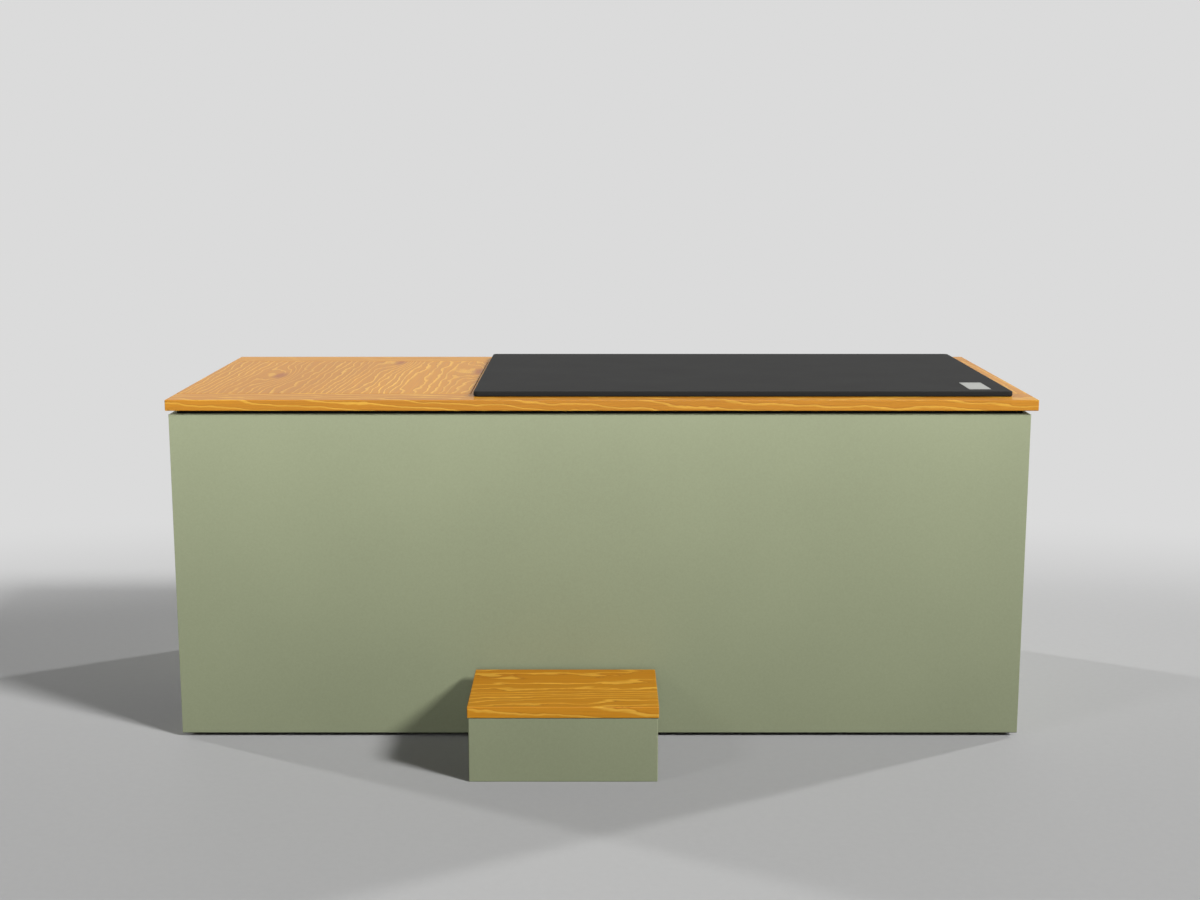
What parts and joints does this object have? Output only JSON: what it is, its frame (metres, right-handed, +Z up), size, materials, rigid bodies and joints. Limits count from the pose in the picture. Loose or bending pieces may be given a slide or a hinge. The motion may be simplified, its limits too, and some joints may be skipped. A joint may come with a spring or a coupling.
{
  "type": "cold plunge tub",
  "caption": "Long panelled cold plunge tub with a moulded basin, chiller bay, timber top with lift-off hatch, thin black insulated cover and a separate box step.",
  "frame": {"origin": "middle of the whole object's footprint, tub and step together, on the floor", "axes": "+X along the tub from the chiller bay to the backrest end, +Y from the step towards the rear panel, +Z up"},
  "size_m": [1.951, 1.0886, 0.8012],
  "materials": {
    "sage_coat": "fine textured powder coat, matt",
    "timber": "satin varnish",
    "board": "plain, sealed",
    "cover_black": "soft grained skin",
    "black_plastic": "fine moulded grain",
    "rubber": "matt",
    "tub_white": "polished",
    "foam": "sprayed foam",
    "galvanised": "galvanised",
    "aluminium": "bare",
    "copper": "drawn pipe",
    "brass": "satin",
    "black_paint": "satin",
    "white_plastic": "moulded",
    "hose": "smooth",
    "pleats": "pleated felt",
    "red_grip": "moulded"
  },
  "bodies": {
    "cabinet": {"front_panel": "sage_coat", "rear_panel": "sage_coat", "left_end_panel": "sage_coat", "right_end_panel": "sage_coat", "front_rail": "timber", "rear_rail": "timber", "mid_rail": "timber", "right_rail": "timber", "base_board": "board", "front_ledger": "board", "rear_ledger": "board", "bulkhead": "board", "foot_front_left": "rubber", "foot_front_middle": "rubber", "foot_front_right": "rubber", "foot_rear_left": "rubber", "foot_rear_middle": "rubber", "foot_rear_right": "rubber", "front_band": "black_plastic", "rear_band": "black_plastic", "left_band": "black_plastic", "right_band": "black_plastic", "intake_grille": "black_plastic", "exhaust_grille": "black_plastic", "power_inlet": "black_plastic", "pump": "black_plastic", "filter_canister": "black_plastic", "tub_shell": "tub_white", "foam_jacket": "foam", "evaporator": "foam", "suction_fitting": "white_plastic", "return_fitting": "white_plastic", "drain_fitting": "white_plastic", "control_box": "white_plastic", "chiller_tray": "galvanised", "condenser": "aluminium", "fan_shroud": "black_paint", "compressor": "black_paint", "hot_gas_pipe": "copper", "liquid_pipe": "copper", "suction_gas_pipe": "copper", "filter_cartridge": "pleats", "suction_hose": "hose", "pump_hose": "hose", "chiller_hose": "hose", "return_hose": "hose", "drain_hose": "hose", "drain_valve": "brass"},
    "cover": {"cover_panel": "cover_black", "cover_plug": "cover_black"},
    "hatch": {"hatch_board": "timber", "hatch_batten_front": "timber", "hatch_batten_rear": "timber"},
    "step": {"step_box": "sage_coat", "step_tread": "timber"},
    "fan": {"fan_rotor": "black_plastic"},
    "drain_handle": {"drain_lever": "red_grip"},
    "filter_cap": {"filter_lid": "black_plastic"},
    "return_jet": {"return_eyeball": "white_plastic"},
    "rocker": {"power_switch": "red_grip"}
  },
  "joints": [
    {"name": "cover_lift", "type": "slide", "parent": "cabinet", "child": "cover", "axis": [0, 0, 1], "range_m": [0, 0.6]},
    {"name": "hatch_lift", "type": "slide", "parent": "cabinet", "child": "hatch", "axis": [0, 0, 1], "range_m": [0, 0.4]},
    {"name": "step_pull", "type": "slide", "parent": "cabinet", "child": "step", "axis": [0, -1, 0], "range_m": [0, 0.4]},
    {"name": "fan_spin", "type": "hinge", "parent": "cabinet", "child": "fan", "pos_m": [-0.8689, 0.00625, 0.2364], "axis": [1, 0, 0], "continuous": true},
    {"name": "drain_turn", "type": "hinge", "parent": "cabinet", "child": "drain_handle", "pos_m": [-0.39105, 0.50795, 0.2003], "axis": [0, 0, 1], "range_deg": [0, 90]},
    {"name": "filter_cap_twist", "type": "hinge", "parent": "cabinet", "child": "filter_cap", "pos_m": [-0.40905, -0.05775, 0.4011], "axis": [0, 0, 1], "range_deg": [0, 60]},
    {"name": "return_jet_swivel", "type": "hinge", "parent": "cabinet", "child": "return_jet", "pos_m": [-0.2506, 0.10275, 0.5589], "axis": [0, 0, 1], "range_deg": [-20, 20]},
    {"name": "rocker_press", "type": "hinge", "parent": "cabinet", "child": "rocker", "pos_m": [-0.8692, 0.53505, 0.5741], "axis": [1, 0, 0], "range_deg": [0, 16]}
  ]
}
